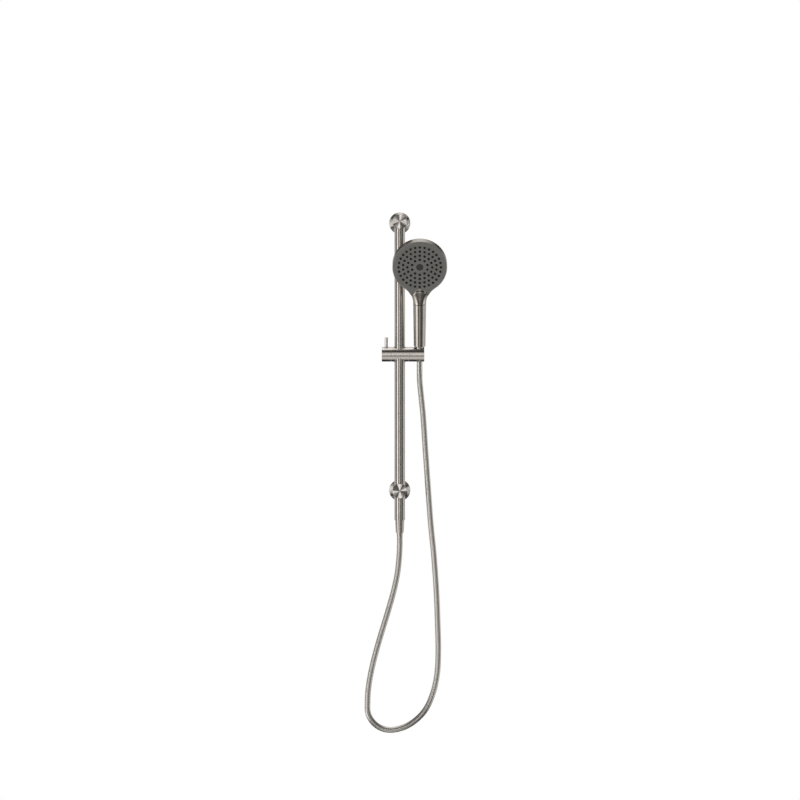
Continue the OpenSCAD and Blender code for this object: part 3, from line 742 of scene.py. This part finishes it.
def finish_cad_nodes():
    """Materials for every CAD node that stays."""
    turned = {
        "rail_tube": (0, 0, 1), "outlet_sleeve": (0, 0, 1), "lower_nut": (0, 0, 1),
        "lower_hose_tail": (0, 0, 1), "lever_pin": (0, 0, 1), "slider_bushes": (0, 0, 1),
        "upper_flange": (0, 1, 0), "lower_flange": (0, 1, 0), "upper_post": (0, 1, 0),
        "lower_post": (0, 1, 0), "upper_end_cap": (0, 1, 0), "lower_end_cap": (0, 1, 0),
        "slider_body": (1, 0, 0), "clamp_knob": (1, 0, 0), "knob_cap": (1, 0, 0),
        "holder_body": (1, 0, 0),
    }
    # Painted reflections: the light and dark sectors of each spun face, painted into its colour
    painted_reflection_fans = {"upper_flange": UPPER_FLANGE_PAINTED_REFLECTION_FAN, "upper_end_cap": UPPER_PAINTED_REFLECTION_FAN,
            "lower_flange": LOWER_FLANGE_PAINTED_REFLECTION_FAN, "lower_end_cap": LOWER_PAINTED_REFLECTION_FAN}
    for node, axis in turned.items():
        name, centre = "nickel_" + node, centre_of(node)
        if node in painted_reflection_fans:
            material = turned_metal(name, axis, centre, 0.22, SPUN_NICKEL, SPUN_NICKEL_DARK, 1.0,
                                    painted_reflection_fan=painted_reflection_fans[node])
        elif node == "lever_pin":
            material = turned_metal(name, axis, centre, 0.3, SPUN_NICKEL, SPUN_NICKEL_DARK, 0.5)
        elif axis == (1, 0, 0):
            # Painted light: the slider's parts get a lighter copy of the nickel
            material = turned_metal(name, axis, centre, 0.26, LIT_SLIDER_NICKEL, LIT_SLIDER_NICKEL_DARK,
                                    0.5)
        else:
            material = turned_metal(name, axis, centre, 0.20, anisotropy=1.0)
        paint(node, material)
    up, origin = (0, 0, 1), (0, 0, 0)
    steel = turned_metal("plain_steel", up, origin, 0.3, (0.62, 0.62, 0.62), (0.5, 0.5, 0.5), 0.2)
    brass = turned_metal("brass", up, origin, 0.3, (0.72, 0.54, 0.26), (0.6, 0.43, 0.2), 0.2)
    nylon = moulded("white_nylon", (0.76, 0.76, 0.73), (0.66, 0.66, 0.63), 0.45)
    rubber = moulded("black_rubber", (0.022, 0.022, 0.023), (0.012, 0.012, 0.013), 0.6)
    green = moulded("green_plastic", (0.06, 0.34, 0.12), (0.04, 0.26, 0.09), 0.4)
    trim = moulded("dark_trim", (0.012, 0.012, 0.012), (0.007, 0.007, 0.007), 0.5)
    nozzle = moulded("nozzle_silicone", (0.014, 0.014, 0.014), (0.008, 0.008, 0.008), 0.6,
                     specular=0.3)
    face = moulded("face_grey", FACE_LIGHT, FACE_DARK, 0.42)
    disc = moulded("cap_grey", (0.062, 0.061, 0.058), (0.048, 0.047, 0.045), 0.4)
    groups = {
        steel: ("rail_screws", "upper_wall_plate", "upper_grub_screw", "pivot_screw", "wave_washer",
                "clamp_screw", "upper_hose_tail", "filter_screen", "face_screw"),
        brass: ("outlet_nipple", "handle_connector"),
        nylon: ("rail_plugs", "guide_sleeve", "clamp_shoe", "water_tube", "water_chamber",
                "check_valve"),
        rubber: ("flange_orings", "inlet_washer", "outlet_oring", "lower_washer", "upper_washer",
                 "tube_oring", "chamber_seal"),
        green: ("flow_restrictor",),
        trim: ("seam_ring",),
        nozzle: ("nozzle_mat",),
        face: ("face_plate",),
        disc: ("centre_cap",),
    }
    for material, nodes in groups.items():
        for node in nodes:
            paint(node, material)


# ---------------------------------------------------------------- Pieces

# The route's points where the lengths of the hose end, and where the bend below the holder starts
LOOP_END, RISE_END, BEND_END, NUT_END = 22, 26, 29, 30


def add_hose():
    """Four lengths of one hose, from the outlet up to the nut."""
    skin_material = hose_skin()
    spans = [
        ("hose_loop", 0, LOOP_END, "rail_set", "carriage"),
        ("hose_rise", LOOP_END, RISE_END, "carriage", "slider"),
        ("hose_bend", RISE_END, BEND_END, "slider", "holder"),
        ("hose_top", BEND_END, NUT_END, "holder", "hose_nut"),
    ]
    pieces = {}
    for name, first, last, low_body, high_body in spans:
        piece, path, length, share = hose_piece(name, first, last)
        dress(piece, skin_material)
        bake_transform(piece)
        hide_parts("hose")
        pieces[name] = (piece, path, length)
    top = pieces["hose_top"][0]
    for name, (piece, path, length) in pieces.items():
        if piece == top:
            continue


def add_handset():
    plating = plated_plastic("nickel_plate", 0.2)
    shell = handset_shell()
    dress(shell, plating)
    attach(shell, "handset")
    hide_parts("handset_shell")

    axis = tuple(turn_axis)
    origin = tuple(turn_origin)
    # Painted shade: the handle gets the shell's darker copy of the nickel
    barrel = turned_metal("nickel_handle", axis, origin, 0.20, SHADED_SHELL_NICKEL, SHADED_SHELL_NICKEL_DARK,
                          anisotropy=1.0, uv_tangent=True)
    handle = swept_ring("handle_tube_skin", handle_section, IN_HANDLE)
    dress(handle, barrel)
    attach(handle, "handset")
    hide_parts("handle_tube")

    nut_material = turned_metal("nickel_upper_nut", axis, origin, 0.20, anisotropy=1.0,
                                uv_tangent=True)
    outline = rounded(NUT_SECTION)
    nut = swept_ring("upper_nut_skin", lambda angle: outline, IN_HANDLE, 96)
    dress(nut, nut_material)
    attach(nut, "hose_nut")
    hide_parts("upper_nut")


# ---------------------------------------------------------------- Studio

FLOOR_Z = -1.05
FLOOR_R = 1.2
FLOOR_Y = -0.2
FLOOR_SIDES = 96


def studio_light():
    """The world: soft boxes at the left, right, top and bottom of a ring round the room's Y axis,
    dark between them, and pale behind the object. What the camera sees of it is white."""
    world = bpy.data.worlds.new("studio")
    bpy.context.scene.world = world
    world.use_nodes = True
    tree = world.node_tree
    tree.nodes.clear()
    n = Nodes(tree)
    way = tree.nodes.new("ShaderNodeTexCoord").outputs["Generated"]
    split = n.add("SeparateXYZ", Vector=way)
    x, y, z = split.outputs
    polar = n.math("DIVIDE", n.math("ARCCOSINE", n.math("MULTIPLY", y, -1.0)), math.pi)
    across_squared = n.math("ADD", n.math("MULTIPLY", x, x), n.math("MULTIPLY", z, z))
    reach = n.math("SQRT", n.math("ADD", across_squared, 1e-6))

    def degrees(stops):
        return [(angle / 180, value) for angle, value in stops]

    # (side it is on, degrees from +X towards +Z; how narrow it is; its strength by degrees from -Y)
    boxes = [
        (0, 8, [(0, 2.50), (6, 1.90), (12, 0.06), (22, 0.10), (36, 0.66), (46, 0.30), (56, 0.0),
                (70, 0.0), (80, 0.50), (92, 0.85), (110, 0.80), (130, 0.75), (180, 0.80)]),
        (90, 8, [(0, 1.70), (9, 2.00), (15, 1.40), (22, 0.50), (30, 0.30), (40, 0.12), (46, 0.0),
                 (66, 0.0), (73, 1.00), (82, 1.30), (102, 1.50), (116, 1.20), (134, 0.95),
                 (144, 0.70), (151, 0.04), (180, 0.02)]),
        (180, 8, [(0, 2.50), (7, 1.90), (14, 0.85), (30, 0.42), (40, 0.70), (45, 2.20), (54, 2.20),
                  (60, 0.40), (68, 0.12), (82, 0.14), (98, 0.50), (112, 0.70), (140, 0.70),
                  (180, 0.80)]),
        (270, 8, [(0, 1.70), (9, 2.00), (14, 1.60), (20, 0.50), (24, 0.22), (33, 0.22), (39, 0.62),
                  (46, 0.80), (60, 0.78), (76, 0.70), (88, 0.50), (96, 0.12), (110, 0.03),
                  (180, 0.02)]),
        (206, 45, [(0, 0.0), (36, 0.0), (48, 2.00), (76, 2.00), (88, 0.30), (180, 0.0)]),
        (338, 60, [(0, 0.0), (60, 0.0), (67, 1.10), (90, 0.90), (104, 0.20), (180, 0.0)]),
    ]
    total = None
    for angle, narrowness, stops in boxes:
        c, s = math.cos(math.radians(angle)), math.sin(math.radians(angle))
        toward = n.math("ADD", n.math("MULTIPLY", x, c), n.math("MULTIPLY", z, s))
        facing = n.math("DIVIDE", toward, reach)
        weight = n.math("POWER", n.math("MAXIMUM", facing, 0.0), narrowness)
        part = n.math("MULTIPLY", weight, n.ramp(polar, degrees(stops)))
        total = part if total is None else n.math("ADD", total, part)
    lit = n.add("Background", Color=(1.0, 0.985, 0.965, 1), Strength=total)
    plain = n.add("Background", Color=(1, 1, 1, 1), Strength=1.0)
    seen = tree.nodes.new("ShaderNodeLightPath").outputs["Is Camera Ray"]
    blend = n.add("MixShader", Fac=seen)
    n.put(blend, 1, lit.outputs[0])
    n.put(blend, 2, plain.outputs[0])
    out = tree.nodes.new("ShaderNodeOutputWorld")
    n.put(out, "Surface", blend.outputs[0])
    bpy.context.scene.view_settings.view_transform = "Standard"


def add_floor():
    """A pale round floor well below the hose."""
    mesh = bpy.data.meshes.new("floor")
    angles = 2 * np.pi * np.arange(FLOOR_SIDES) / FLOOR_SIDES
    points = [(FLOOR_R * math.cos(a), FLOOR_Y + FLOOR_R * math.sin(a), FLOOR_Z) for a in angles]
    mesh.from_pydata(points, [], [tuple(range(FLOOR_SIDES))])
    floor = bpy.data.objects.new("floor", mesh)
    bpy.context.scene.collection.objects.link(floor)
    material, n, shader = new_material("floor_white")
    place = n.tree.nodes.new("ShaderNodeTexCoord").outputs["Object"]
    n.put(shader, "Base_Color", n.ramp(n.noise(place, 3.0), [(0.3, 0.93), (0.7, 0.95)]))
    n.put(shader, "Roughness", 0.9)
    mesh.materials.append(material)
    floor.visible_glossy = False


add_hose()
add_handset()
finish_cad_nodes()
studio_light()
add_floor()
